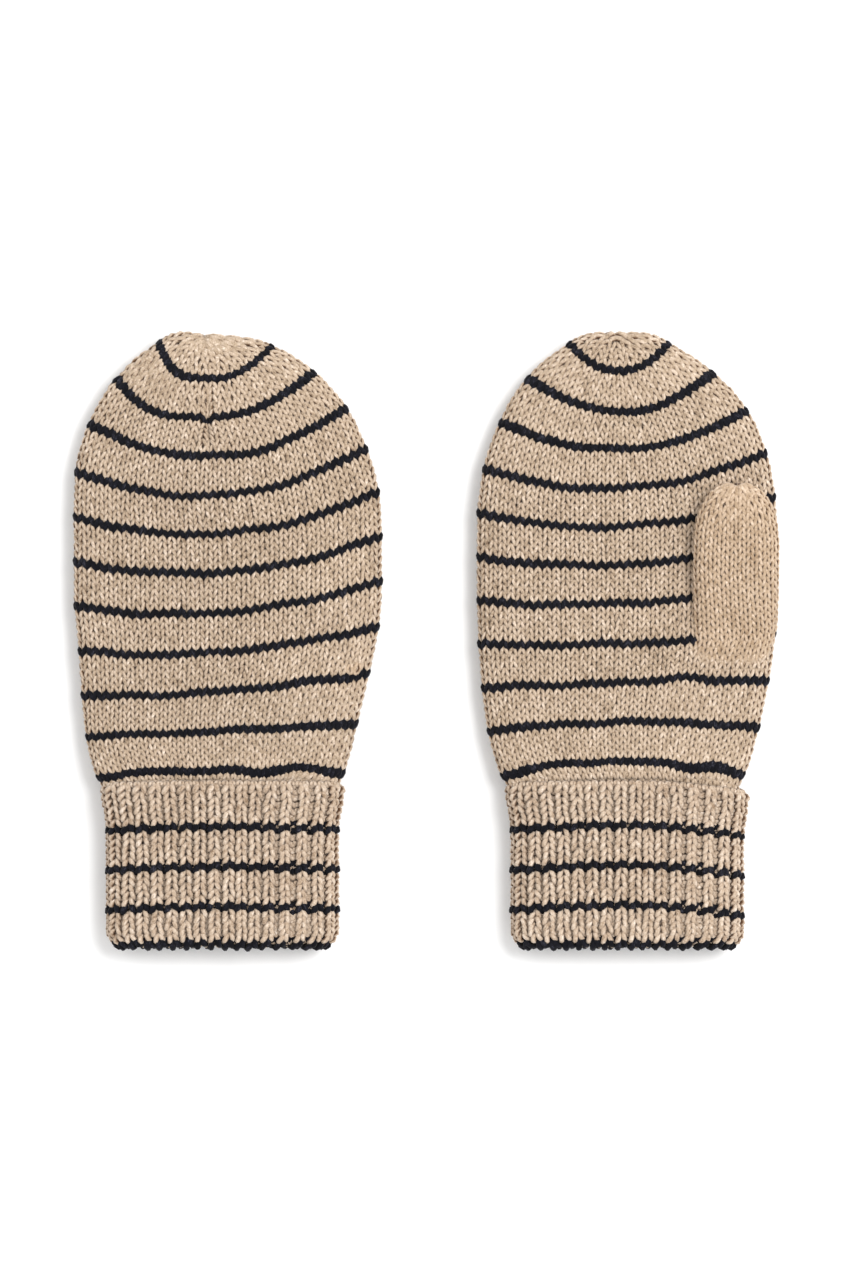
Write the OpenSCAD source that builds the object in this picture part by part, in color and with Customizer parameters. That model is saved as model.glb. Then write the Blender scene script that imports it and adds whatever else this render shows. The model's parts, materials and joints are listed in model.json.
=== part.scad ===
// A pair of striped knitted mittens with turned-up ribbed cuffs, lying flat side by side.
// The left-hand mitten (on -X) lies palm down on its thumb, and the right-hand mitten
// (on +X) lies palm up with its thumb over the palm. +Y points to the finger tips, +Z is up.
// "level" counts stripe spacings from the closed tip (0) towards the wrist.

/* [Hand] */
// Half width of the hand at its widest course
palm_half_w = 39.4; // [32:0.1:48]
// Thickness of the flattened hand
palm_thick = 12; // [11:0.5:16]
// Thickness of the knitted hand fabric
hand_wall = 2; // [1.5:0.1:2.2]
// Length from the cuff fold to the closed tip
mitten_len = 160.5; // [140:0.5:190]
// Length along the middle between two stripes
stripe_pitch = 10.2; // [9:0.1:12]

/* [Stripes] */
// Number of stripes on the hand
hand_stripe_count = 11; // [6:1:11]
// Width of a stripe as a share of the stripe spacing
stripe_share = 0.19; // [0.12:0.01:0.25]
// Depth that the stripe yarn sits in the fabric
stripe_depth = 0.7; // [0.4:0.1:1]

/* [Cuff] */
// Width of the turned-up cuff
cuff_w = 61.6; // [56:0.2:66]
// Thickness of the turned-up cuff
cuff_thick = 14; // [13.5:0.5:17]
// Height of the turned-up cuff
cuff_h = 43; // [36:0.5:48]
// Thickness of one layer of ribbing
rib_wall = 1.8; // [1.4:0.1:1.9]
// Distance between two stripes on the cuff
cuff_stripe_pitch = 10.4; // [9:0.1:11]

/* [Thumb] */
// Half width of the thumb
thumb_half_w = 11.4; // [9:0.1:12]
// Thickness of the flattened thumb
thumb_thick = 7.2; // [7:0.1:7.4]
// Thickness of the knitted thumb fabric
thumb_wall = 1.3; // [1:0.1:1.4]
// Distance of the thumb's line from the middle of the hand
thumb_x = 28.1; // [26:0.1:29]
// Height of the thumb's base above the cuff fold
thumb_base_y = 78.5; // [77:0.5:82]
// Height of the thumb's tip above the cuff fold
thumb_tip_y = 120.9; // [112:0.5:126]

/* [Pair] */
// Distance between the middles of the two mittens
pair_spacing = 105.6; // [92:0.1:140]

/* [Hidden] */

LEFT = -1;
RIGHT = 1;
beige = [0.82, 0.70, 0.55];
rib_beige = [0.80, 0.68, 0.53];
navy = [0.09, 0.10, 0.16];

gap = 0.3;                 // clearance between pieces that move against each other
hand_sides = 32;           // points around a hand course
thumb_sides = 24;          // points around a thumb course
palm_half_h = palm_thick / 2;
cuff_half_h = cuff_thick / 2;
thumb_half_h = thumb_thick / 2;
wrist_y = cuff_h + gap;    // lower end of the hand, just above the turned-up cuff

// Where the widest course, the start of the narrowing and the wrist lie, in stripe spacings from the tip
widest_level = 6;
narrowing_level = 6.9;
wrist_level = 11.25;
crown_round = 1.45;        // how far the crown rounds before the edges run straight
edge_pitch = (mitten_len - wrist_y - 1.7)
    / (sqrt(11 * 11 + crown_round * crown_round) - crown_round);
inner_tip_level = 0.35;    // first course of the inner surface
stripe_half = stripe_share / 2;

// The thumb turns on a hood that sits in a round hole in the palm
hood_r = 6.7;
hood_wall = 1.3;
pivot_rise = 4.8;          // from the middle of the hand to the palm's surface at the thumb
collar_depth = 1.9;        // how far the hood's collar reaches into the palm
thumb_mid = 4.4;           // from the pivot to the middle of the thumb
thumb_start = hood_r + gap;
thumb_len = thumb_tip_y - thumb_base_y;
thumb_lift = pivot_rise + thumb_mid + thumb_half_h - palm_half_h;

tie_r = 1.6;               // ring of yarn that draws a tip shut
tie_yarn_r = 0.45;
tie_rise = 0.2;            // from a tip to the ring that stands on it
seam_r = 0.6;

pair_mid_y = (mitten_len + tie_rise + 2 * tie_yarn_r) / 2;
left_bulge = 1.5;          // the left hand bulges towards the thumb beneath it
left_spread = 1;           // and spreads wider over it
pair_shift = -left_bulge / 2;

// Outline of the hand, each as [left hand, right hand]
tip_lean = [2.6, 1.0];     // the very tip leans to -X
crown_power = [1.1, 1.2];  // how pointed the crown is
narrow_power = [1.5, 2.05]; // how late the hand narrows
wrist_lean = [2.2, 1.1];   // the wrist leans to -X
course_rise = [6.4, 4.2];  // how much higher a course ends on +X than on -X
mid_start = [-1.8, 0.4];   // how a course's middle runs near the tip
crown_lean = 2.1;          // the crown leans to -X
crown_spread = 0.6;        // the tip is this much wider, which makes it flat
crown_lift = 1;            // courses near the tip end this much higher
narrowing = 0.195;         // share of the width that goes towards the wrist
wrist_nip = 0.05;          // and at the wrist itself
edge_drop = 0.4;           // the hand is this much thinner at the wrist

function smooth(a, b, v) = let (t = min(1, max(0, (v - a) / (b - a)))) t * t * (3 - 2 * t);

function of(side, pair) = pair[side == LEFT ? 0 : 1];

// ---- The hand's surface: a course at a level, and an angle round it ----

function edge_y(level) =
    mitten_len - edge_pitch * (sqrt(level * level + crown_round * crown_round) - crown_round)
    + crown_lift * smooth(0, 0.8, level) * (1 - smooth(2, 4.5, level));

// The middle of a course runs lower than its ends near the tip and higher near the wrist
function mid_y(side, level) =
    mitten_len - stripe_pitch * level + of(side, mid_start) * level / (level + 0.3);

function course_tilt(side, level) = of(side, course_rise) * (side == LEFT
    ? smooth(0.6, 4.8, level) * (1 - smooth(8.5, 11.9, level))
    : smooth(0.6, 4.2, level) * (1 - smooth(5.5, 12, level)));

function course_x(side, level) =
    (side == LEFT ? left_bulge * smooth(3, 5.5, level) : 0)
    - of(side, tip_lean) * (1 - smooth(0, 0.9, level))
    - crown_lean * (1 - smooth(0.8, 3.4, level))
    - of(side, wrist_lean) * smooth(7.5, 10.5, level);

// Half the width of the hand: it rounds in to the crown, is even, then narrows to the wrist
function course_half_w(side, level) =
    let (
        widest = palm_half_w + (side == LEFT ? left_spread : 0),
        crown = pow(1 - pow(1 - min(1, level / widest_level), 2.8), of(side, crown_power)),
        flat_tip = 1 + crown_spread * (1 - smooth(0, 1.2, level)),
        t = max(0, (level - narrowing_level) / (wrist_level - narrowing_level))
    )
    widest * crown * flat_tip * (1 - narrowing * pow(t, of(side, narrow_power)) - wrist_nip * pow(t, 14));

// Courses are tilted but the hand's outline isn't, so each end takes the width at its own height
function end_level(side, level, s) = level - course_tilt(side, level) / (2 * edge_pitch) * s;

function course_half_h(level) =
    palm_half_h * (level < 2 ? sqrt(1 - pow(1 - level / 2, 3)) : 1)
    - edge_drop * smooth(10, wrist_level, level);

// The left hand drapes over the thumb that lies beneath it
function drape(side, x, y) = side == RIGHT ? 0
    : thumb_lift * smooth(-34, 15, x) * smooth(44, 70, y) * (1 - smooth(126, 156, y));

function hand_mid_z(side, x, y) =
    palm_half_h + (cuff_half_h - palm_half_h) * (1 - smooth(wrist_y, wrist_y + 14, y)) + drape(side, x, y);

// Sections are flat in the middle and round at the edges
function section_z(angle) = sign(sin(angle)) * sqrt(1 - pow(abs(cos(angle)), 3));

// inset moves the point into the fabric, along Y as well where the crown turns over
function hand_point(side, angle, level, inset) =
    let (
        s = cos(angle),
        x = course_x(side, level) + s * (course_half_w(side, end_level(side, level, s)) - inset),
        turned = level < widest_level ? pow(1 - level / widest_level, 1.5) : 0,
        dip = edge_y(level) - mid_y(side, level),
        y_free = edge_y(level) + course_tilt(side, level) / 2 * s - dip * (1 - s * s) - inset * turned,
        y = level >= wrist_level ? wrist_y : y_free
    )
    [x, y, hand_mid_z(side, x, y) + section_z(angle) * (course_half_h(level) - inset)];

function hand_course(side, level, inset) =
    [for (i = [0 : hand_sides - 1]) hand_point(side, 360 * i / hand_sides, level, inset)];

function stripe_courses(side, n) = [
    hand_course(side, n - stripe_half, 0),
    hand_course(side, n + stripe_half, 0),
    hand_course(side, n + stripe_half, stripe_depth),
    hand_course(side, n - stripe_half, stripe_depth)
];

// ---- Lofts through courses that all have the same number of points ----

function flatten(lists) = [for (list = lists) each list];

function band_faces(from, to, n) = [
    for (i = [0 : n - 1])
        let (a = from + i, b = from + (i + 1) % n, c = to + (i + 1) % n, d = to + i)
        each [[a, d, c], [a, c, b]]
];

// A skin from one closing point through the courses to another closing point
module closed_skin(first, courses, last) {
    n = len(courses[0]);
    count = len(courses);
    end = count * n + 1;
    first_fan = [for (i = [0 : n - 1]) [0, 1 + i, 1 + (i + 1) % n]];
    last_fan = [for (i = [0 : n - 1]) [end, end - n + (i + 1) % n, end - n + i]];
    bands = [for (j = [0 : count - 2]) each band_faces(1 + j * n, 1 + (j + 1) * n, n)];
    polyhedron(concat([first], flatten(courses), [last]), concat(first_fan, bands, last_fan));
}

// The same band, with its facets' diagonals the other way. A ring that lies in a groove has
// these, so that its facets match the groove's, which run the opposite way.
function matching_faces(from, to, n) = [
    for (i = [0 : n - 1])
        let (a = from + i, b = from + (i + 1) % n, c = to + (i + 1) % n, d = to + i)
        each [[a, d, b], [d, c, b]]
];

// A closed ring through the courses, and back to the first one
module ring_skin(courses) {
    n = len(courses[0]);
    count = len(courses);
    bands = [for (j = [0 : count - 1]) each matching_faces(j * n, ((j + 1) % count) * n, n)];
    polyhedron(flatten(courses), bands);
}

module place(side) {
    translate([pair_shift + side * pair_spacing / 2, -pair_mid_y, 0]) children();
}

// ---- Hand ----

module thumb_hole(side) {
    mid = hand_mid_z(side, thumb_x, thumb_base_y);
    translate([thumb_x, thumb_base_y, side == RIGHT ? mid : mid - 2 * palm_half_h])
        cylinder(r = hood_r + gap, h = 2 * palm_half_h, $fn = 64);
}

module hand(side) {
    outer = concat(
        [hand_course(side, 0.12, 0), hand_course(side, 0.45, 0)],
        [for (n = [1 : hand_stripe_count]) each [
            hand_course(side, n - stripe_half, 0),
            hand_course(side, n - stripe_half, stripe_depth),
            hand_course(side, n + stripe_half, stripe_depth),
            hand_course(side, n + stripe_half, 0)
        ]],
        [hand_course(side, wrist_level, 0)]
    );
    inner = [for (level = [wrist_level, for (n = [11 : -0.5 : 0.5]) n, inner_tip_level])
        hand_course(side, level, hand_wall)];
    tip = [course_x(side, 0), mitten_len, hand_mid_z(side, 0, mitten_len)];
    color(beige) place(side) difference() {
        closed_skin(tip, concat(outer, inner), tip - [0, hand_wall + 1, 0]);
        thumb_hole(side);
    }
}

module hand_stripes(side) {
    color(navy) place(side) difference() {
        for (n = [1 : hand_stripe_count]) ring_skin(stripe_courses(side, n));
        thumb_hole(side);
    }
}

// A ring of yarn that draws the last stitches together, standing on a tip that faces +Y
module tie() {
    rotate([-90, 0, 0]) rotate_extrude($fn = 32) translate([tie_r, 0]) circle(r = tie_yarn_r, $fn = 16);
}

module crown_tie(side) {
    z = hand_mid_z(side, 0, mitten_len);
    color(beige) place(side) translate([course_x(side, 0), mitten_len + tie_rise + tie_yarn_r, z]) tie();
}

// The seam yarn runs up the inside of the right-hand edge, from the cuff to the crown
module side_seam(side) {
    function seam_centre(level) = hand_point(side, 0, level, hand_wall + seam_r + 0.2);
    cuff_x = cuff_w / 2 - 2 * rib_wall - gap - seam_r - 0.6;
    route = concat(
        [for (level = [1.5 : 0.5 : 10.5]) seam_centre(level)],
        [[cuff_x, wrist_y, cuff_half_h], [cuff_x, wrist_y / 2, cuff_half_h], [cuff_x, 3, cuff_half_h]]
    );
    rings = [for (p = route)
        [for (i = [0 : 7]) p + [seam_r * cos(45 * i), 0, seam_r * sin(45 * i)]]];
    color(beige) place(side) closed_skin(route[0] + [0, 0.2, 0], rings, route[len(route) - 1] - [0, 0.2, 0]);
}

// ---- Cuff ----

// A flat-sided tube along +Y with round edges, w wide and h thick outside
module flat_tube(w, h, wall, from_y, to_y) {
    translate([0, to_y, cuff_half_h]) rotate([90, 0, 0]) linear_extrude(to_y - from_y) difference() {
        stadium(w, h);
        stadium(w - 2 * wall, h - 2 * wall);
    }
}

module stadium(w, h) {
    square([w - h, h], center = true);
    for (end = [-1, 1]) translate([end * (w - h) / 2, 0]) circle(d = h, $fn = 48);
}

edge_h = 1;                // height of the cast-on edge
fold_h = 1.2;              // height of the stripe at the fold
cuff_stripe_h = stripe_share * cuff_stripe_pitch;
inner_w = cuff_w - 2 * rib_wall - 2 * gap;
inner_h = cuff_thick - 2 * rib_wall - 2 * gap;

module cuff_inner(side) {
    color(rib_beige) place(side) flat_tube(inner_w, inner_h, rib_wall, fold_h + gap, wrist_y);
}

module cuff_turn_up(side) {
    color(beige) place(side) difference() {
        flat_tube(cuff_w, cuff_thick, rib_wall, fold_h, cuff_h - edge_h);
        for (n = [1 : 3]) cuff_band(n);
    }
}

module cuff_band(n) {
    flat_tube(cuff_w, cuff_thick, stripe_depth,
        n * cuff_stripe_pitch - cuff_stripe_h / 2, n * cuff_stripe_pitch + cuff_stripe_h / 2);
}

// Three stripes in the turned-up cuff, and one along the fold that closes in to the inner layer
module cuff_stripes(side) {
    color(navy) place(side) {
        for (n = [1 : 3]) cuff_band(n);
        flat_tube(cuff_w, cuff_thick, 2 * rib_wall, 0, fold_h);
    }
}

module cuff_edge(side) {
    color(rib_beige) place(side) flat_tube(cuff_w, cuff_thick, rib_wall, cuff_h - edge_h, cuff_h);
}

// ---- Thumb ----

// Puts its children on the thumb's pivot, upside down on the left mitten. The pivot lies in
// the palm's surface, where the hood turns in the thumb hole.
module at_thumb(side) {
    z = hand_mid_z(side, thumb_x, thumb_base_y) + side * pivot_rise;
    place(side) translate([thumb_x, thumb_base_y, z]) rotate([0, side == RIGHT ? 0 : 180, 0]) children();
}

function thumb_course(share, inset) =
    let (
        taper = pow(1 - pow(share, 4.5), 1 / 2.2),
        w = thumb_half_w * taper - inset,
        h = thumb_half_h * pow(taper, 0.6) - inset,
        y = thumb_start + (thumb_len - thumb_start) * share - inset * share
    )
    [for (i = [0 : thumb_sides - 1])
        [w * cos(360 * i / thumb_sides), y, thumb_mid + h * section_z(360 * i / thumb_sides)]];

module thumb(side) {
    outer = [for (share = [0.99, 0.96, 0.9, 0.8, 0.65, 0.45, 0.25, 0]) thumb_course(share, 0)];
    inner = [for (share = [0, 0.25, 0.45, 0.65, 0.8, 0.9, 0.95]) thumb_course(share, thumb_wall)];
    tip = [0, thumb_len, thumb_mid];
    color(beige) at_thumb(side) closed_skin(tip, concat(outer, inner), tip - [0, thumb_wall + 1, 0]);
}

module thumb_tie(side) {
    color(beige) at_thumb(side) translate([0, thumb_len + tie_rise + tie_yarn_r, thumb_mid]) tie();
}

// Half of the hood's section: a quarter round on top of a straight collar
module hood_profile(r, depth) {
    intersection() {
        circle(r = r, $fn = 64);
        square([r, r]);
    }
    translate([0, -depth]) square([r, depth]);
}

// The picked-up stitches: a collar that turns in the thumb hole, with a hood over it that is
// open towards the finger tips and away from the palm
module thumb_join(side) {
    color(rib_beige) at_thumb(side) difference() {
        rotate_extrude($fn = 64) difference() {
            hood_profile(hood_r, collar_depth);
            hood_profile(hood_r - hood_wall, collar_depth + 1);
        }
        translate([-hood_r, 1, 1]) cube([2 * hood_r, hood_r, hood_r]);
    }
}

// ---- Nodes ----

hand(LEFT);  // left_hand
hand_stripes(LEFT);  // left_hand_stripes
crown_tie(LEFT);  // left_crown_tie
side_seam(LEFT);  // left_side_seam
cuff_inner(LEFT);  // left_cuff_inner
cuff_turn_up(LEFT);  // left_cuff_turn_up
cuff_stripes(LEFT);  // left_cuff_stripes
cuff_edge(LEFT);  // left_cuff_edge
thumb_join(LEFT);  // left_thumb_join
thumb(LEFT);  // left_thumb
thumb_tie(LEFT);  // left_thumb_tie
hand(RIGHT);  // right_hand
hand_stripes(RIGHT);  // right_hand_stripes
crown_tie(RIGHT);  // right_crown_tie
side_seam(RIGHT);  // right_side_seam
cuff_inner(RIGHT);  // right_cuff_inner
cuff_turn_up(RIGHT);  // right_cuff_turn_up
cuff_stripes(RIGHT);  // right_cuff_stripes
cuff_edge(RIGHT);  // right_cuff_edge
thumb_join(RIGHT);  // right_thumb_join
thumb(RIGHT);  // right_thumb
thumb_tie(RIGHT);  // right_thumb_tie
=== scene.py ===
import json
import math

import bpy
import numpy as np
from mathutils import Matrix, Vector


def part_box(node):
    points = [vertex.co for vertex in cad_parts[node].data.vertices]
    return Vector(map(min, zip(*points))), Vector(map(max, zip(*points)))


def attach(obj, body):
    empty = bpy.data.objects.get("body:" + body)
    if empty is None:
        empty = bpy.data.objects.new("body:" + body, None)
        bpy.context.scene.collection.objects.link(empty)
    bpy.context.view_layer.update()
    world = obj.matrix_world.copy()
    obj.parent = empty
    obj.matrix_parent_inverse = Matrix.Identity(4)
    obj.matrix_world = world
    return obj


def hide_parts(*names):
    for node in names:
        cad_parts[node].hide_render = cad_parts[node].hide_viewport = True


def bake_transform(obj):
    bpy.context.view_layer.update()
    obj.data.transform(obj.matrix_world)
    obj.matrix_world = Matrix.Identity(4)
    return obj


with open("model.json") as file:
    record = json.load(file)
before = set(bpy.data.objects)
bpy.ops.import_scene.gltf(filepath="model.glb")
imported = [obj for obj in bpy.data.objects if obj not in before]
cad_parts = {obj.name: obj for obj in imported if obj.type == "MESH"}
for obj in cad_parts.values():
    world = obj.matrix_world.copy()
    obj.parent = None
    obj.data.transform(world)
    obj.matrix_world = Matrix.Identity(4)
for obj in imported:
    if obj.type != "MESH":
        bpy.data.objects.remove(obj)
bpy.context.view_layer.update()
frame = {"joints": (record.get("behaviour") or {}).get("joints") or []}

# A pair of knitted mittens, made stitch by stitch: every course is one strand of yarn that
# loops through the course before it. Lengths are millimetres in each mitten's own frame,
# where x runs across from its middle line, y up from its cuff fold, and z up from the floor.
# A "level" counts stripe spacings from the closed tip, and a "turn" goes once round a course.
MM = 0.001
TAU = 2 * math.pi
rng = np.random.default_rng(7)

COURSES_PER_STRIPE = 6
STRIPES = 11
STRIPE_PITCH = 10.2         # from stripe to stripe along the middle of a hand
WALE = 2.42                 # width of a stitch on the hand
COURSE = 1.72               # height of a stitch on the hand and on the thumb
STITCH_POINTS = 14          # points along the yarn of one stitch

# The middle of the fabric lies this far inside the CAD shell
HAND_INSET = 1.05
RIB_INSET = 0.9
THUMB_INSET = 0.95

# Radii of the yarn
YARN_R = 0.54
STRIPE_YARN_R = YARN_R * 1.2
RIB_YARN_R = 0.72
RIB_STRIPE_YARN_R = 0.84
LINING_YARN_R = 0.62
CAST_ON_YARN_R = 0.55
THUMB_YARN_R = 0.52
TIE_YARN_R = 0.55
SEAM_YARN_R = 0.4

PALM_HALF_H = 6.0           # half the thickness of a hand that lies flat
WRIST_LEVEL = 11.25
WIDEST_LEVEL = 6
NARROWING_LEVEL = 6.9
CROWN_ROUND = 1.45          # how roundly the courses' ends turn in at the tip, in levels

CUFF_WALES = 68
CUFF_ROWS = 24
CUFF_COURSE = 10.4 / COURSES_PER_STRIPE
CAST_ON_COURSE = 0.7
CUFF_FOLD_R = 1.05
CUFF_FOLD_Y = CUFF_FOLD_R + 1.0
CUFF_SEAM_X = 18.5
RIB_FLATNESS = 6            # the power of a cuff's cross section, flatter than the hand's

THUMB_ROUND = 3.0           # the same as CROWN_ROUND for the thumb, in courses
THUMB_JOIN_ROW = 25         # from here on the thumb's courses are the join's
THUMB_END_ROW = 28

# What differs between the mittens. The left one lies palm down over its thumb.
SIDES = {
    "left": {
        "palm_down": True,
        "lift": 6.8,                # how far its thumb lifts the hand
        "mid_start": -1.8,          # how far the courses' middles are moved up, past the first ones
        "tip_lean": 2.6,            # how far the tip lies to the left
        "crown_power": 1.1,         # more makes the tip slimmer
        "narrowing_power": 1.5,     # more keeps the width longer on the way to the wrist
        "corner_fill": 0.0,         # widening at the right edge where the hand goes into the cuff
        "tip_square": 2.5,          # how square the first courses run on their left
        "tip_drop": 0.4,            # how far the first courses are moved down
        "wave_phase": 2,            # makes the two hands' waves differ
        "thumb_short": 1.3,         # from the CAD thumb's tip to the knitted one's
        # how far the cuff's courses rise in the middle, and fall at the left and the right end
        "cuff_bow": (0.5, 0.6, 0.2),
    },
    "right": {
        "palm_down": False,
        "lift": 0.0,
        "mid_start": 0.4,
        "tip_lean": 1.0,
        "crown_power": 1.2,
        "narrowing_power": 2.05,
        "corner_fill": 1.6,
        "tip_square": 0.0,
        "tip_drop": 0.0,
        "wave_phase": 4,
        "thumb_short": 0.6,
        "cuff_bow": (0.9, 0.5, 1.9),
    },
}

# Places where the fabric is drawn out of line: x, y, half widths of the place in x and in y,
# and how far it is moved in y and out of the surface.
PUCKERS = {
    "left": [
        (-3.3, 138, 1.6, 5, -1.2, -0.2), (-3.3, 137.5, 0.9, 7, 0.0, -1.4), (22, 45.5, 5, 4, 1.6, 0.0),
        (10, 45, 5, 4, -1.0, -0.3), (-24, 45, 6, 5, 0.6, 0.0), (-28, 45, 4, 4, -0.5, -0.4),
        (34, 66, 6, 12, -0.8, -0.3), (-8, 100, 14, 8, 0.5, 0.3), (12, 128, 7, 6, -0.4, 0.3),
    ],
    "right": [
        (14, 68, 5, 6, 1.5, 0.5), (23.5, 48, 4, 4, 1.3, 0.0), (14, 46, 6, 4, -0.8, -0.3),
        (-22, 45, 7, 4, 0.5, 0.0), (-4, 92, 12, 9, 0.5, 0.3), (-20, 118, 9, 8, -0.4, 0.3),
        (4, 140, 8, 5, -0.5, -0.2), (-2, 152, 5, 4, 0.4, 0.2),
    ],
}


def smooth(a, b, v):
    """Rises from 0 at a to 1 at b."""
    t = np.clip((v - a) / (b - a), 0, 1)
    return t * t * (3 - 2 * t)


class Mitten:
    """One mitten's place and sizes, from the CAD frame, and what its side sets."""

    def __init__(self, side):
        self.side = side
        for setting, value in SIDES[side].items():
            setattr(self, setting, value)
        cuff_low, cuff_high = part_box(side + "_cuff_turn_up")
        fold_low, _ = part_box(side + "_cuff_stripes")
        hand_low, hand_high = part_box(side + "_hand")
        _, edge_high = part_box(side + "_cuff_edge")
        self.origin = np.array([(cuff_low.x + cuff_high.x) / 2, fold_low.y, 0.0])
        self.cuff_half_w = (cuff_high.x - cuff_low.x) / 2 / MM
        self.cuff_half_h = (cuff_high.z - cuff_low.z) / 2 / MM
        self.cuff_top = (edge_high.y - fold_low.y) / MM
        self.tip_y = (hand_high.y - fold_low.y) / MM
        self.wrist_y = (hand_low.y - fold_low.y) / MM
        self.palm_half_w = (hand_high.x - hand_low.x) / 2 / MM
        self.pivot_m = next(j for j in frame["joints"] if j["name"] == side + "_thumb_lift")["pos_m"]
        self.pivot = (np.array(self.pivot_m) - self.origin) / MM
        thumb_low, thumb_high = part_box(side + "_thumb")
        self.thumb_half_w = (thumb_high.x - thumb_low.x) / 2 / MM
        self.thumb_half_h = (thumb_high.z - thumb_low.z) / 2 / MM
        self.thumb_tip_y = (thumb_high.y - fold_low.y) / MM
        self.thumb_mid_z = (thumb_low.z + thumb_high.z) / 2 / MM
        self.hand_mid_z = PALM_HALF_H + self.lift
        rounds = math.hypot(STRIPES, CROWN_ROUND) - CROWN_ROUND
        self.edge_pitch = (self.tip_y - self.wrist_y - 1.7) / rounds

    def in_scene(self, points):
        """The mitten's own millimetres as the scene's metres."""
        return points * MM + self.origin

    def body(self, part=""):
        return f"{self.side}_{part}" if part else f"{self.side}_mitten"


# ---- Surfaces: each takes arrays of turn or angle and of level, and gives points ----

def course_tilt(m, level):
    """How much higher a course ends at the right than at the left."""
    if m.palm_down:
        tip = -1.8 * smooth(0, 0.5, level) * (1 - smooth(0.6, 1.5, level))
        return tip + 6.4 * smooth(0.6, 4.8, level) * (1 - smooth(8.5, 11.9, level))
    return 4.2 * smooth(0.6, 4.2, level) * (1 - smooth(5.5, 12, level))


def course_x(m, level):
    """The middle of a course in x."""
    lean = -2.1 * (1 - smooth(0.8, 3.4, level)) - m.tip_lean * (1 - smooth(0, 0.9, level))
    if m.palm_down:
        return lean + 1.5 * smooth(3, 5.5, level) - 2.2 * smooth(7.5, 10.5, level)
    return lean - 1.1 * smooth(7.5, 10.5, level)


def course_end_y(m, level):
    """Where a course's ends lie in y, before it tilts."""
    return m.tip_y - m.edge_pitch * (np.hypot(level, CROWN_ROUND) - CROWN_ROUND)


def wrist_tuck(level):
    """Rises where the hand's last courses go into the cuff."""
    return smooth(WRIST_LEVEL + 0.05, WRIST_LEVEL + 0.45, level)


def hand_half_w(m, level):
    crown = (1 - np.clip(1 - level / WIDEST_LEVEL, 0, 1) ** 2.8) ** m.crown_power
    crown = crown * (1 + 0.6 * (1 - smooth(0, 1.2, level)))
    t = np.clip((level - NARROWING_LEVEL) / (WRIST_LEVEL - NARROWING_LEVEL), 0, 1.1)
    narrowed = 1 - 0.195 * t ** m.narrowing_power - 0.05 * np.minimum(t, 1) ** 14
    return m.palm_half_w * crown * narrowed - 1.6 * wrist_tuck(level)


def hand_half_h(level):
    tip = np.sqrt(1 - (1 - np.clip(level / 2, 0, 1)) ** 3)
    return PALM_HALF_H * tip - 0.4 * smooth(10, WRIST_LEVEL, level) - wrist_tuck(level)


def hand_point(m, angle, level, inset):
    """The hand's fabric, inset from its outer shape. s is -1 at its left edge and 1 at its right."""
    s = np.cos(angle)
    tilt = course_tilt(m, level)
    w = hand_half_w(m, np.maximum(level - tilt / (2 * m.edge_pitch) * s, 0))
    h = hand_half_h(level)
    x = course_x(m, level) + s * np.maximum(w - inset, 0.3)
    x = x + m.corner_fill * np.clip(s, 0, 1) * smooth(11, 11.5, level)
    edge_y = course_end_y(m, level) + smooth(0, 0.8, level) * (1 - smooth(2, 4.5, level))
    mid_y = m.tip_y - STRIPE_PITCH * level + m.mid_start * level / (level + 0.3)
    dip = edge_y - mid_y
    turned = np.clip(1 - level / WIDEST_LEVEL, 0, 1) ** 1.5
    square = m.tip_square * (s < 0) * (1 - smooth(1.2, 3, level))
    y = edge_y + tilt / 2 * s - dip * (1 - np.abs(s) ** (2 + square)) - inset * turned
    y = y - m.tip_drop * (1 - smooth(0.5, 1.4, level))
    move, lift = uneven(m, x, y)
    y = y + move * (1 - s ** 8)
    # the hand is as high as the cuff where it comes out of it
    mid = PALM_HALF_H + (m.cuff_half_h - PALM_HALF_H) * (1 - smooth(m.wrist_y, m.wrist_y + 14, y))
    drape = m.lift * smooth(-34, 15, x) * smooth(44, 70, y) * (1 - smooth(126, 156, y))
    top = flat_section(angle, 3)
    z = mid + drape + top * np.maximum(h - inset, 0.2) + lift * np.clip(top, 0, 1) ** 2
    return np.stack([x, y, z], axis=-1)


def uneven(m, x, y):
    """How far the hand's fabric is moved in y and out of its surface."""
    move = 0.18 * np.sin(x / 4.3 + y / 9.1 + 0.7) + 0.1 * np.sin(x / 2.3 - y / 6.7 + m.wave_phase)
    lift = 0.22 * np.sin(x / 5.2 - y / 7.3) * np.sin(y / 5.9 + x / 11.0)
    move = move * smooth(150, 130, y)
    # the cuff's edge presses a shallow groove into the hand
    lift = lift - 0.9 * np.exp(-((y - m.cuff_top - 0.4) / 2.2) ** 2)
    for px, py, wide, high, up, out in PUCKERS[m.side]:
        near = np.exp(-((x - px) / wide) ** 2 - ((y - py) / high) ** 2)
        move, lift = move + up * near, lift + out * near
    return move, lift


def flat_section(angle, power):
    """Height round a flattened tube: flat in the middle and round at the edges."""
    return np.sign(np.sin(angle)) * np.sqrt(np.clip(1 - np.abs(np.cos(angle)) ** power, 0, 1))


def cuff_bow(m, s, y):
    """How far the cuff's courses are moved in y. Its top edge keeps level in the middle."""
    middle, left, right = m.cuff_bow
    ends = left * np.clip(-s, 0, 1) ** 2 + right * np.clip(s, 0, 1) ** 2 * (1 + 0.3 * smooth(28, 38, y))
    return (middle * (1 - s * s) * (1 - smooth(31, 39, y)) - ends) * smooth(0, 9, y)


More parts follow.
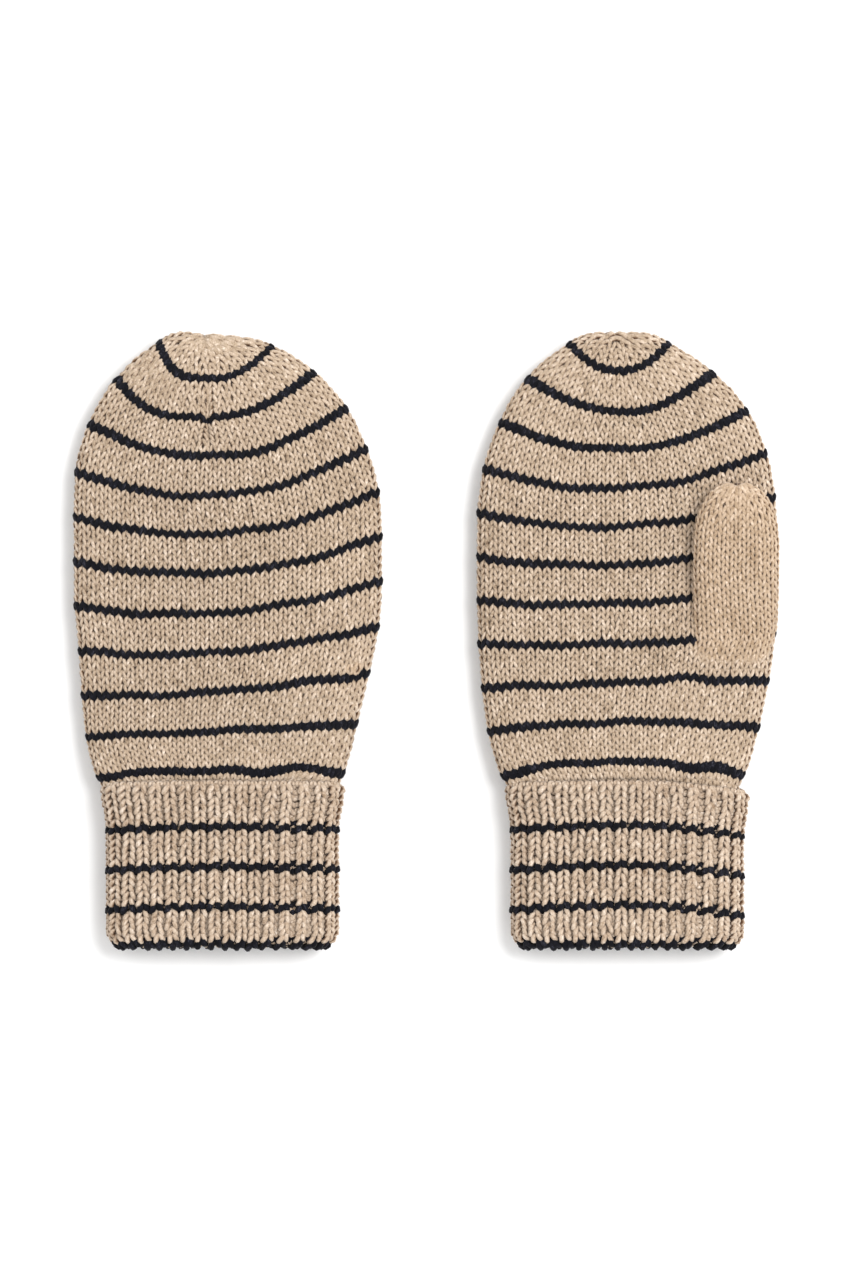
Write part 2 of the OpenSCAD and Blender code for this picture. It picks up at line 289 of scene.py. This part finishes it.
def cuff_point(m, angle, v):
    """The turned-up layer: v runs from 0 at the bottom of the fold up the outside of the cuff,
    and below 0 up its inside."""
    quarter = CUFF_FOLD_R * math.pi / 2
    bend = np.clip(v / CUFF_FOLD_R, -math.pi / 2, math.pi / 2)
    y = CUFF_FOLD_Y - CUFF_FOLD_R * np.cos(bend) + np.maximum(np.abs(v) - quarter, 0)
    inset = RIB_INSET + CUFF_FOLD_R * (1 - np.sin(bend))
    # the cast-on edge curls in a little
    top = m.cuff_top
    inset = inset + 0.3 * smooth(top - 2.4, top, y)
    w = m.cuff_half_w - 0.8 + 1.3 * smooth(top - 12, top - 2, y) - 2.2 * (1 - smooth(-0.5, 4.5, y))
    h = m.cuff_half_h - 0.4 - 0.5 * (1 - smooth(0, 5, y))
    x = np.cos(angle) * (w - inset)
    z = m.cuff_half_h + flat_section(angle, RIB_FLATNESS) * (h - inset)
    return np.stack([x, y + cuff_bow(m, np.cos(angle), y), z], axis=-1)


def cuff_inner_point(m, angle, y):
    """The layer inside the turned-up one."""
    inset = RIB_INSET + 2 * CUFF_FOLD_R + 0.5
    w = m.cuff_half_w - 0.5 - inset
    h = m.cuff_half_h - inset
    x = np.cos(angle) * w
    z = m.cuff_half_h + flat_section(angle, RIB_FLATNESS) * h
    return np.stack(np.broadcast_arrays(x, y + 0 * x, z), axis=-1)


def palm_height(m, x, y):
    """How far the palm's surface stands from the middle of the hand."""
    level = np.linspace(0, 12, 80)
    at = np.interp(-y, -course_end_y(m, level), level)
    across = np.clip(np.abs(x - course_x(m, at)) / (hand_half_w(m, at) - HAND_INSET), 0, 1)
    return (hand_half_h(at) - HAND_INSET) * np.sqrt(1 - across ** 3)


def thumb_point(m, angle, row):
    """row counts courses from the thumb's tip down to its base."""
    near_tip = np.clip(1 - row / 11, 0, 1)
    taper = np.clip(1 - near_tip ** 2.3, 0.02, 1) ** 0.72
    w = (m.thumb_half_w - THUMB_INSET) * taper
    half_h = (m.thumb_half_h - THUMB_INSET) * taper ** 0.6
    tip_y = m.thumb_tip_y - m.thumb_short
    edge_y = tip_y - COURSE * 1.12 * (np.hypot(row, THUMB_ROUND) - THUMB_ROUND)
    mid_y = tip_y - COURSE * row
    s = np.cos(angle)
    y = edge_y - (edge_y - mid_y) * (1 - s * s)
    base_x, base_y, _ = m.pivot
    x = base_x + s * w - 3.0 * np.clip(s, 0, 1) ** 3 * smooth(base_y + 7, base_y - 8, y)
    # the front comes down to the palm towards the base, and its last courses go into the palm
    rise = abs(m.thumb_mid_z - m.hand_mid_z)
    proud = smooth(base_y - 3, base_y + 26, y)
    front = (rise + half_h) * proud + (palm_height(m, x, y) + 1.5) * (1 - proud)
    front = front - 2.9 * (1 - smooth(base_y - 8, base_y + 1, y))
    droop = 0.9 * np.clip(s, 0, 1) ** 2 * proud
    away = front - half_h - droop + flat_section(angle, 4) * half_h
    z = m.hand_mid_z + (-away if m.palm_down else away)
    return np.stack([x, y, z], axis=-1)


class Surface:
    """A tube whose courses are measured, so that stitches come out evenly wide round it. point
    gives its points from angle and level, first and last are its range of levels, and outward
    is the sign that makes its normals point out of the mitten."""

    LEVELS = 90
    ANGLES = 181

    def __init__(self, point, first, last, outward=1, course_height=COURSE):
        self.point = point
        self.course_height = course_height
        self.outward = outward
        self.levels = np.linspace(first, last, self.LEVELS)
        angle = np.linspace(0, TAU, self.ANGLES)
        rings = point(angle[None, :], self.levels[:, None])
        steps = np.linalg.norm(np.diff(rings, axis=1), axis=2)
        length = np.concatenate([np.zeros((len(self.levels), 1)), np.cumsum(steps, axis=1)], axis=1)
        self.perimeter = length[:, -1]
        even = np.linspace(0, 1, self.ANGLES)
        self.angle = np.stack([np.interp(even, row / row[-1], angle) for row in length])

    def around(self, level):
        """The length of a course."""
        return float(np.interp(level, self.levels, self.perimeter))

    def at(self, turn, level):
        """Points at fractions of a course's length, by interpolating the measured angles."""
        turns = np.floor(turn)
        col = (turn - turns) * (self.ANGLES - 1)
        span = self.levels[-1] - self.levels[0]
        row = np.clip((level - self.levels[0]) / span * (len(self.levels) - 1), 0, len(self.levels) - 1.001)
        c0, r0 = np.minimum(col.astype(int), self.ANGLES - 2), row.astype(int)
        fc, fr = col - c0, row - r0
        a = self.angle
        angle = (a[r0, c0] * (1 - fc) + a[r0, c0 + 1] * fc) * (1 - fr) \
            + (a[r0 + 1, c0] * (1 - fc) + a[r0 + 1, c0 + 1] * fc) * fr
        return self.point(angle, level)

    def normal(self, turn, level):
        step_turn, step_level = 0.004, 0.02
        across = self.at(turn + step_turn, level) - self.at(turn - step_turn, level)
        down = self.at(turn, level + step_level) - self.at(turn, level - step_level)
        n = np.cross(across, down) * self.outward
        return n / np.maximum(np.linalg.norm(n, axis=-1, keepdims=True), 1e-9)


# ---- Stitches ----

class Strand:
    """The middle line of a piece of yarn, with the fabric's normal along it."""

    FLAT = 0.86     # the yarn is this much thinner across the fabric

    def __init__(self, points, normals, radius, stitches, closed=True):
        self.points, self.normals, self.radius = points, normals, radius
        self.stitches, self.closed = stitches, closed


def periodic_noise(count, knots, size):
    """Smooth noise round a closed course, with a given number of random knots."""
    values = rng.normal(0, size, knots)
    pos = np.arange(count) / count * knots
    i = pos.astype(int) % knots
    f = pos - np.floor(pos)
    f = f * f * (3 - 2 * f)
    return values[i] * (1 - f) + values[(i + 1) % knots] * f


def wale_edges(surface, level, sectors, full, width):
    """Where each wale of a course begins, in turns. A course is made of equal sectors of up to
    full wales, about width wide. Wales run on unbroken through the courses, and where the tube
    narrows they end at the sectors' edges, in lines of decreases."""
    room = min(full, surface.around(level) / sectors / width)
    half = max(0, round((room - 1) / 2))
    count = 2 * half + 1
    place = np.clip(np.arange(count + 1) - count / 2, -room / 2, room / 2)
    if count >= 5:
        # the outer wales share the room beside the inner ones
        outer = 3 if count > 5 else 2
        steps = np.linspace(-room / 2, place[outer], outer + 1)[:-1]
        place[:len(steps)] = steps
        place[len(place) - len(steps):] = -steps[::-1]
    else:
        place = np.linspace(-room / 2, room / 2, count + 1)
    place = (place / room + 0.5) / sectors
    return np.concatenate([place[:-1] + k / sectors for k in range(sectors)] + [[1.0]])


def stocking_course(surface, level, edges, course, radius, reverse=False,
                    lean=0.235, reach=0.9, depth=0.62, rough=0.045, proud=0.0):
    """One course of knit stitches, one in each wale. course is the level's change from one
    course to the next. lean opens each V, reach is how far a loop goes into the next course,
    depth how far the yarn goes in and out of the fabric, rough how uneven it is, and proud
    how far all of it stands out."""
    wales = len(edges) - 1
    u = np.arange(wales * STITCH_POINTS) / STITCH_POINTS
    t = TAU * u
    x = u + lean * np.sin(2 * t) + periodic_noise(len(u), wales * 2, rough)
    turn = np.interp((x + 0.5) % wales, np.arange(wales + 1), edges)
    sign = 1 if reverse else -1
    at_level = level + sign * course * (reach * np.cos(t) + periodic_noise(len(u), wales, rough * 1.3))
    out = proud - depth * np.cos(2 * t) + periodic_noise(len(u), wales, 0.06)
    normal = surface.normal(turn, at_level)
    # the yarn is thicker where the courses lie further apart, or the wales are wider
    next_row = surface.at(turn, np.full(len(u), level + course / 2))
    last_row = surface.at(turn, np.full(len(u), level - course / 2))
    spacing = np.linalg.norm(next_row - last_row, axis=1) / surface.course_height
    wide = np.diff(edges)[np.floor(x + 0.5).astype(int) % wales] * surface.around(level) / WALE
    thick = radius * np.clip(spacing, 1, 1.9) ** 0.7 * np.clip(wide, 0.95, 1.3) ** 0.5
    return Strand(surface.at(turn, at_level) + normal * out[:, None], normal, thick, wales)


def rib_course(surface, v, course, radius, reverse=False, points=STITCH_POINTS, open_at=(),
               depth=0.85, swell=1.4, reach=0.69, proud=0.0, turned=0.22):
    """One course of one-by-one rib: knit columns stand proud, by swell, and close over the purl
    ones, apart from the turns in open_at, where the rib is stretched and the purl shows. turned
    lets one leg of each stitch lie over the other, and the rest is as for a stocking course."""
    wales = CUFF_WALES
    u = np.arange(wales * points) / points
    t = TAU * u
    knit = np.cos(math.pi * u)
    side = 0.25 * np.sin(2 * t) + 0.05 * np.sin(4 * t)
    up = reach * np.cos(t) + 0.14 * np.sin(t)
    x = u + side + periodic_noise(len(u), wales * 2, 0.055)
    turn = x / wales
    gather = np.full(len(u), 0.28)
    for centre, half in open_at:
        near = np.abs((turn - centre + 0.5) % 1 - 0.5) / half
        gather = gather - 0.27 * np.clip(1 - near, 0, 1)
    turn = turn + gather * np.sin(math.pi * x) / wales
    for centre, half in open_at:
        near = (turn - centre + 0.5) % 1 - 0.5
        turn = turn + 0.2 * near * np.clip(1 - np.abs(near) / (2 * half), 0, 1)
    # each column sways from side to side as it goes up
    phase = 2.5 * np.sin(11 * TAU * u / wales) + 2 * np.sin(23 * TAU * u / wales)
    turn = turn + 0.06 * np.sin(2.2 * v / course + phase) / wales
    sign = -1 if reverse else 1
    at_v = v + sign * course * (up + periodic_noise(len(u), wales, 0.06))
    facing = np.tanh(2.2 * knit) / math.tanh(2.2)
    out = -depth * np.cos(2 * t) * facing + swell * (0.5 * knit - 0.35) + turned * np.sin(t) * facing
    out = proud + out + periodic_noise(len(u), wales, 0.06)
    normal = surface.normal(turn, at_v)
    return Strand(surface.at(turn, at_v) + normal * out[:, None], normal, radius, wales)


def tube(strand, sides):
    """Rings of vertices (count, sides, 3) round a strand, and the distance along it."""
    p, n = strand.points, strand.normals
    if strand.closed:
        ahead, behind = np.roll(p, -1, axis=0), np.roll(p, 1, axis=0)
    else:
        ahead, behind = np.vstack([p[1:], p[-1:]]), np.vstack([p[:1], p[:-1]])
    t = ahead - behind
    t /= np.maximum(np.linalg.norm(t, axis=1, keepdims=True), 1e-9)
    n = n - t * np.sum(n * t, axis=1, keepdims=True)
    n /= np.maximum(np.linalg.norm(n, axis=1, keepdims=True), 1e-9)
    b = np.cross(t, n)
    a = np.arange(sides) / sides * TAU
    ring = np.cos(a)[None, :, None] * b[:, None, :] + strand.FLAT * np.sin(a)[None, :, None] * n[:, None, :]
    step = np.linalg.norm(np.diff(p, axis=0, append=p[:1]), axis=1)
    radius = np.broadcast_to(strand.radius, len(p))[:, None, None]
    return p[:, None, :] + ring * radius, np.concatenate([[0], np.cumsum(step)])


def yarn_mesh(m, name, strands, material, sides=7):
    """One mesh of all the strands, with a UV map along and round the yarn and another that
    gives each stitch its own cell, for baking."""
    cells = math.ceil(math.sqrt(sum(s.stitches for s in strands)))
    verts, quads, yarn_uv, bake_uv = [], [], [], []
    base, cell = 0, 0
    for s in strands:
        rings, along = tube(s, sides)
        count = len(rings)
        verts.append(m.in_scene(rings.reshape(-1, 3)))
        spans = count if s.closed else count - 1
        i = np.repeat(np.arange(spans), sides)
        j = np.tile(np.arange(sides), spans)
        i2, j2 = (i + 1) % count, (j + 1) % sides
        corners = [i * sides + j, i * sides + j2, i2 * sides + j2, i2 * sides + j]
        quads.append(base + np.stack(corners, axis=1))
        offset = rng.uniform(0, 400)
        u0, u1 = along[i] + offset, along[np.minimum(i + 1, len(along) - 1)] + offset
        v0, v1 = j / sides, (j + 1) / sides
        yarn_uv.append(np.stack([u0, v0, u0, v1, u1, v1, u1, v0], axis=1))
        # each stitch's faces, per to a row, fill a cell of the bake map apart from a margin
        per = max(1, spans // s.stitches)
        own = np.minimum(i // per, s.stitches - 1) + cell
        left, low = (own % cells) / cells, (own // cells) / cells
        size = 0.9 / cells
        f0 = (i - (i // per) * per) / per * size
        f1 = f0 + size / per
        g0, g1 = v0 * size, v1 * size
        bake_uv.append(np.stack([left + f0, low + g0, left + f0, low + g1,
                                 left + f1, low + g1, left + f1, low + g0], axis=1))
        base += count * sides
        cell += s.stitches
    verts, quads = np.concatenate(verts), np.concatenate(quads)
    mesh = bpy.data.meshes.new(name)
    mesh.vertices.add(len(verts))
    mesh.vertices.foreach_set("co", verts.astype(np.float32).ravel())
    mesh.loops.add(quads.size)
    mesh.loops.foreach_set("vertex_index", quads.astype(np.int32).ravel())
    mesh.polygons.add(len(quads))
    mesh.polygons.foreach_set("loop_start", np.arange(0, quads.size, 4, dtype=np.int32))
    mesh.polygons.foreach_set("use_smooth", np.ones(len(quads), dtype=bool))
    mesh.update(calc_edges=True)
    for layer, values in (("yarn", yarn_uv), ("OFBake", bake_uv)):
        uv = mesh.uv_layers.new(name=layer)
        uv.data.foreach_set("uv", np.concatenate(values).astype(np.float32).ravel())
    mesh.materials.append(material)
    piece = bpy.data.objects.new(name, mesh)
    bpy.context.scene.collection.objects.link(piece)
    return piece


# ---- Materials ----

def srgb(r, g, b):
    def linear(c):
        c = c / 255
        return c / 12.92 if c <= 0.04045 else ((c + 0.055) / 1.055) ** 2.4
    return (linear(r), linear(g), linear(b), 1.0)


FIBRE_SHARES = {"heather": 0.45, "patches": 0.08, "fibres": 0.38}
PAINTED_CREVICE_SHADE = (0.22, 0.14, 0.09, 1.0)    # painted shade: how dark the yarn is painted where it faces into the fabric, for the crevices between stitches
COLOUR_A, COLOUR_B, COLOUR_OUT = 6, 7, 2    # a colour mix's sockets, whose names aren't unique


def yarn_material(name, shades, sheen, twist, fuzz, lit_from):
    """Plied, heathered yarn: shades run from dark to light fibres, twist is the ply's depth and
    fuzz the depth of the fine fibres, both as bump. Painted shade darkens the yarn on the side
    that faces into the fabric, standing for the shade in the crevices between stitches. lit_from
    is where that painted shade begins to lift, as a height from -1 at its innermost line to 1 at
    its outermost one."""
    mat = bpy.data.materials.new(name)
    mat.use_nodes = True
    tree = mat.node_tree
    shader = tree.nodes["Principled BSDF"]
    shader.inputs["Sheen Weight"].default_value = sheen
    shader.inputs["Sheen Roughness"].default_value = 0.5
    shader.inputs["Specular IOR Level"].default_value = 0.15

    def node(kind, inputs, **settings):
        """A node whose inputs are set to values or linked to other nodes' outputs."""
        made = tree.nodes.new("ShaderNode" + kind)
        for setting, value in settings.items():
            setattr(made, setting, value)
        for socket, value in inputs.items():
            if isinstance(value, bpy.types.NodeSocket):
                tree.links.new(value, made.inputs[socket])
            else:
                made.inputs[socket].default_value = value
        return made

    def noise(vector, detail, scale=1.0):
        return node("TexNoise", {"Vector": vector, "Scale": scale, "Detail": detail}).outputs["Fac"]

    def stretch(vector, scale):
        return node("Mapping", {"Vector": vector, "Scale": scale}).outputs["Vector"]

    # the yarn's UV map runs in millimetres along the yarn and from 0 to 1 round it
    uv = node("UVMap", {}, uv_map="yarn").outputs["UV"]
    heather = noise(stretch(uv, (0.55, 2.2, 1.0)), 4.0)
    patches = noise(node("TexCoord", {}).outputs["Object"], 2.0, scale=90.0)
    fibres = noise(stretch(uv, (3.2, 14.0, 1.0)), 2.0)

    value = node("Math", {0: patches, 1: FIBRE_SHARES["patches"]}, operation="MULTIPLY").outputs[0]
    for layer, share in ((heather, FIBRE_SHARES["heather"]), (fibres, FIBRE_SHARES["fibres"])):
        value = node("Math", {0: layer, 1: share, 2: value}, operation="MULTIPLY_ADD").outputs[0]
    ramp = node("ValToRGB", {"Fac": value})
    stops = ramp.color_ramp.elements
    while len(stops) < len(shades):
        stops.new(0.5)
    for stop, at, shade in zip(stops, np.linspace(0.3, 0.61, len(shades)), shades):
        stop.position, stop.color = float(at), shade

    # v is a quarter at the yarn's outermost line and three quarters at its innermost one, so its
    # sine is the height
    v = node("SeparateXYZ", {"Vector": uv}).outputs["Y"]
    turn = node("Math", {0: v, 1: TAU}, operation="MULTIPLY").outputs[0]
    height = node("Math", {0: turn}, operation="SINE").outputs[0]
    # painted shade: the yarn's side that faces into the fabric is multiplied darker, for the shade in the
    # crevices between stitches
    lit = node("MapRange", {"Value": height, "From Min": lit_from, "From Max": 0.95},
               interpolation_type="SMOOTHSTEP").outputs["Result"]
    crevice_shade_mix = node("Mix", {}, data_type="RGBA")
    crevice_shade_mix.inputs[COLOUR_A].default_value = PAINTED_CREVICE_SHADE
    crevice_shade_mix.inputs[COLOUR_B].default_value = (1.0, 1.0, 1.0, 1.0)
    tree.links.new(lit, crevice_shade_mix.inputs[0])
    shaded = node("Mix", {}, data_type="RGBA", blend_type="MULTIPLY")
    shaded.inputs[0].default_value = 1.0
    tree.links.new(ramp.outputs["Color"], shaded.inputs[COLOUR_A])
    tree.links.new(crevice_shade_mix.outputs[COLOUR_OUT], shaded.inputs[COLOUR_B])
    tree.links.new(shaded.outputs[COLOUR_OUT], shader.inputs["Base Color"])

    rough = node("MapRange", {"Value": fibres, "To Min": 0.78, "To Max": 0.98})
    tree.links.new(rough.outputs["Result"], shader.inputs["Roughness"])

    plies = node("TexWave", {"Vector": stretch(uv, (0.22, 0.64, 1.0)), "Scale": 1.0, "Distortion": 1.2},
                 wave_type="BANDS", bands_direction="DIAGONAL").outputs["Fac"]
    ply_bump = node("Bump", {"Height": plies, "Strength": 0.6, "Distance": twist * MM})
    hair_bump = node("Bump", {"Height": fibres, "Strength": 0.5, "Distance": fuzz * MM,
                              "Normal": ply_bump.outputs["Normal"]})
    tree.links.new(hair_bump.outputs["Normal"], shader.inputs["Normal"])
    return mat


BEIGE_SHADES = [srgb(98, 77, 59), srgb(170, 149, 126), srgb(195, 175, 154), srgb(236, 220, 203)]
RIB_SHADES = [srgb(119, 95, 72), srgb(177, 155, 133), srgb(199, 180, 160), srgb(229, 215, 201)]
THUMB_SHADES = [srgb(115, 88, 60), srgb(171, 147, 121), srgb(194, 171, 147), srgb(230, 211, 190)]
NAVY_SHADES = [srgb(3, 3, 7), srgb(8, 8, 14), srgb(20, 20, 28), srgb(62, 62, 72)]

# lit_from sets how far round each yarn the painted crevice shade reaches
beige = yarn_material("beige_yarn", BEIGE_SHADES, sheen=0.2, twist=0.24, fuzz=0.12, lit_from=0.2)
thumb_beige = yarn_material("thumb_yarn", THUMB_SHADES, sheen=0.2, twist=0.22, fuzz=0.12, lit_from=0.05)
rib_beige = yarn_material("rib_yarn", RIB_SHADES, sheen=0.2, twist=0.26, fuzz=0.14, lit_from=-0.1)
navy = yarn_material("navy_yarn", NAVY_SHADES, sheen=0.04, twist=0.22, fuzz=0.12, lit_from=-0.55)


# ---- Pieces ----

def finish_piece(piece, body, slot, *nodes):
    """Puts a piece on its body and in place of the CAD nodes, which it hides. slot is not used."""
    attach(piece, body)
    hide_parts(*nodes)


def knit_hand(m):
    surface = Surface(lambda angle, level: hand_point(m, angle, level, HAND_INSET), first=0.03, last=12.2)
    course = 1 / COURSES_PER_STRIPE

    def knit(level, radius, **kind):
        edges = wale_edges(surface, level, sectors=4, full=17, width=2.2 if level < 3 else 1.9)
        # the yarn is a little fuller towards the tip
        radius = radius * (1 + 0.12 * (1 - smooth(1, 3.5, level)))
        return stocking_course(surface, level, edges, course, radius, **kind)

    bands = []
    for band in range(STRIPES + 1):
        # the last band goes into the cuff and ends there
        rows = range(1, COURSES_PER_STRIPE) if band < STRIPES else range(1, 5)
        bands.append([knit(band + r * course, YARN_R) for r in rows])
    for k in range(0, len(bands), 2):
        piece = yarn_mesh(m, f"{m.side}_hand_knit_{k // 2 + 1}", bands[k] + bands[k + 1], beige)
        finish_piece(piece, m.body(), "hand_knit", f"{m.side}_hand")
    stripes = [knit(n, STRIPE_YARN_R, proud=0.12) for n in range(1, STRIPES + 1)]
    piece = yarn_mesh(m, f"{m.side}_hand_stripe_yarn", stripes, navy)
    finish_piece(piece, m.body(), "stripe_yarn", f"{m.side}_hand_stripes")
    return surface


def knit_cuff(m):
    outer = Surface(lambda angle, v: cuff_point(m, angle, v), first=-3.5, last=m.cuff_top + 1,
                    outward=-1, course_height=CAST_ON_COURSE)
    # the rib is stretched open in one narrow place; x falls as the turn grows
    turns = np.linspace(0, 0.25, 200)
    x = outer.at(turns, np.full(200, 20.0))[:, 0]
    seam = [(np.interp(-CUFF_SEAM_X, -x, turns), 0.06)]
    # the courses by the fold lie closer, so that the navy one at the fold shows
    rows = {r: r * CUFF_COURSE - 0.31 + 1.15 * (1 - smooth(0, 6, r)) for r in range(-1, CUFF_ROWS + 1)}

    def make(r):
        if r % COURSES_PER_STRIPE == 0:
            return rib_course(outer, rows[r], CUFF_COURSE, RIB_STRIPE_YARN_R, reverse=True, open_at=seam,
                              reach=0.58, proud=0.16)
        return rib_course(outer, rows[r], CUFF_COURSE, RIB_YARN_R, reverse=True, open_at=seam)

    beige_rows = [make(r) for r in rows if r % COURSES_PER_STRIPE]
    top_row = make(CUFF_ROWS)
    half = len(beige_rows) // 2
    for k, strands in enumerate((beige_rows[:half], beige_rows[half:] + [top_row])):
        piece = yarn_mesh(m, f"{m.side}_cuff_knit_{k + 1}", strands, rib_beige)
        finish_piece(piece, m.body("cuff"), "cuff_rib", f"{m.side}_cuff_turn_up")
    stripes = [make(r) for r in range(0, CUFF_ROWS, COURSES_PER_STRIPE)]
    piece = yarn_mesh(m, f"{m.side}_cuff_stripe_yarn", stripes, navy)
    finish_piece(piece, m.body("cuff"), "stripe_yarn", f"{m.side}_cuff_stripes")
    edges = np.linspace(0, 1, CUFF_WALES + 1)
    edge = stocking_course(outer, m.cuff_top - 0.5, edges, CAST_ON_COURSE, CAST_ON_YARN_R, reverse=True,
                           lean=0.1, reach=0.6, depth=0.4)
    piece = yarn_mesh(m, f"{m.side}_cuff_cast_on", [edge], rib_beige)
    finish_piece(piece, m.body("cuff"), "cuff_rib", f"{m.side}_cuff_edge")

    inner = Surface(lambda angle, y: cuff_inner_point(m, angle, y), first=0, last=m.cuff_top + 4, outward=-1)
    strands = [rib_course(inner, y, CUFF_COURSE, LINING_YARN_R, points=10, depth=0.45, swell=0.8, turned=0)
               for y in np.arange(3.4, m.cuff_top - 1.5, CUFF_COURSE)]
    piece = yarn_mesh(m, f"{m.side}_cuff_lining_knit", strands, rib_beige, sides=6)
    finish_piece(piece, m.body(), "cuff_rib", f"{m.side}_cuff_inner")


def knit_thumb(m):
    outward = -1 if m.palm_down else 1
    surface = Surface(lambda angle, row: thumb_point(m, angle, row), first=0.1, last=32, outward=outward)

    def make(row):
        edges = wale_edges(surface, row, sectors=2, full=11, width=2.05)
        radius = THUMB_YARN_R + 0.13 * (1 - smooth(2, 8, row))
        return stocking_course(surface, row, edges, 1.0, radius, depth=0.52, lean=0.225, rough=0.03)

    sleeve_rows = [make(r) for r in range(1, THUMB_JOIN_ROW)]
    sleeve = yarn_mesh(m, f"{m.side}_thumb_knit", sleeve_rows, thumb_beige)
    join_rows = [make(r) for r in range(THUMB_JOIN_ROW, THUMB_END_ROW)]
    join = yarn_mesh(m, f"{m.side}_thumb_join_knit", join_rows, thumb_beige)
    m.body("thumb_base")
    m.body("thumb")
    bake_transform(sleeve)
    m.body()
    m.body("thumb_base")
    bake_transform(join)
    for piece, node in ((sleeve, "thumb"), (join, "thumb_join")):
        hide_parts(f"{m.side}_{node}")
    return surface


def tie_strand(centre, radius, yarn):
    """A small ring of yarn round the y axis that draws a tip shut."""
    count = 40
    a = np.arange(count) / count * TAU
    offset = np.stack([np.cos(a) * radius, 0.15 * np.sin(3 * a), np.sin(a) * radius * 0.8], axis=1)
    return Strand(centre + offset, offset / radius, yarn, 4)


def knit_ties(m, hand, thumb):
    for name, surface, body, slot, level, radius, mat in (
            ("crown_tie", hand, m.body(), "hand_knit", 0.04, 1.2, beige),
            ("thumb_tie", thumb, m.body("thumb"), "thumb_knit", 0.15, 0.9, thumb_beige)):
        ring = surface.at(np.array([0.0, 0.25, 0.5, 0.75]), np.full(4, level))
        centre = ring.mean(axis=0) - [0, 0.5, 0]
        strands = [tie_strand(centre, radius, TIE_YARN_R),
                   tie_strand(centre + [0, -0.5, 0], radius * 0.35, TIE_YARN_R - 0.05)]
        piece = yarn_mesh(m, f"{m.side}_{name}_yarn", strands, mat)
        finish_piece(piece, body, slot, f"{m.side}_{name}")


def knit_seam(m):
    """The side seam's yarn zigzags up the inside of the right-hand edge."""
    stitches = 60
    t = np.linspace(0, 1, stitches * 6)
    level = 10.8 - 9.3 * t
    p = hand_point(m, np.zeros_like(level), level, HAND_INSET + 1.9)
    wave = TAU * stitches * t
    p = p + np.stack([0.25 * np.cos(wave), np.zeros_like(t), 0.5 * np.sin(wave)], axis=1)
    normal = np.tile([-1.0, 0.0, 0.0], (len(t), 1))
    strand = Strand(p, normal, SEAM_YARN_R, stitches, closed=False)
    piece = yarn_mesh(m, f"{m.side}_side_seam_yarn", [strand], beige, sides=6)
    finish_piece(piece, m.body(), "hand_knit", f"{m.side}_side_seam")


for mitten in (Mitten("left"), Mitten("right")):
    hand_surface = knit_hand(mitten)
    knit_cuff(mitten)
    thumb_surface = knit_thumb(mitten)
    knit_ties(mitten, hand_surface, thumb_surface)
    knit_seam(mitten)


# ---- Stage, light and camera ----

FLOOR_HALF = 3.0
CAMERA_HEIGHT = 1.6
VIEW_HEIGHT = 0.3336        # what the camera sees, from the top to the bottom of the frame
SENSOR = 36


def make_floor():
    mesh = bpy.data.meshes.new("floor")
    corners = [(x * FLOOR_HALF, y * FLOOR_HALF, 0) for x, y in ((-1, -1), (1, -1), (1, 1), (-1, 1))]
    mesh.from_pydata(corners, [], [(0, 1, 2, 3)])
    floor = bpy.data.objects.new("floor", mesh)
    bpy.context.scene.collection.objects.link(floor)
    mat = bpy.data.materials.new("floor_paper")
    mat.use_nodes = True
    mat.node_tree.nodes["Principled BSDF"].inputs["Base Color"].default_value = (0.92, 0.92, 0.92, 1)
    mat.node_tree.nodes["Principled BSDF"].inputs["Roughness"].default_value = 0.9
    mesh.materials.append(mat)
    floor.location.z = -0.0002      # clear of the yarn that lies on it


def make_light(name, place, energy, size):
    """A soft square light, aimed at the middle of the pair."""
    data = bpy.data.lights.new(name, "AREA")
    data.energy, data.size = energy, size
    light = bpy.data.objects.new(name, data)
    light.location = place
    light.rotation_euler = (-Vector(place)).to_track_quat("-Z", "Y").to_euler()
    bpy.context.scene.collection.objects.link(light)


def make_world():
    world = bpy.data.worlds.new("studio")
    world.use_nodes = True
    world.node_tree.nodes["Background"].inputs["Color"].default_value = (1, 1, 1, 1)
    world.node_tree.nodes["Background"].inputs["Strength"].default_value = 1.0
    bpy.context.scene.world = world


def make_camera():
    """Straight above the pair, with the finger tips at the top of the frame."""
    data = bpy.data.cameras.new("camera")
    camera = bpy.data.objects.new("camera", data)
    bpy.context.scene.collection.objects.link(camera)
    data.sensor_width = SENSOR
    data.lens = SENSOR * CAMERA_HEIGHT / VIEW_HEIGHT
    data.clip_start, data.clip_end = 0.05, 20
    camera.location = (0, -0.001, CAMERA_HEIGHT + 0.012)
    bpy.context.scene.camera = camera


make_floor()
make_light("key", (0.75, 0.42, 1.5), 21, 0.7)
make_world()
make_camera()
bpy.context.scene.view_settings.view_transform = "Standard"
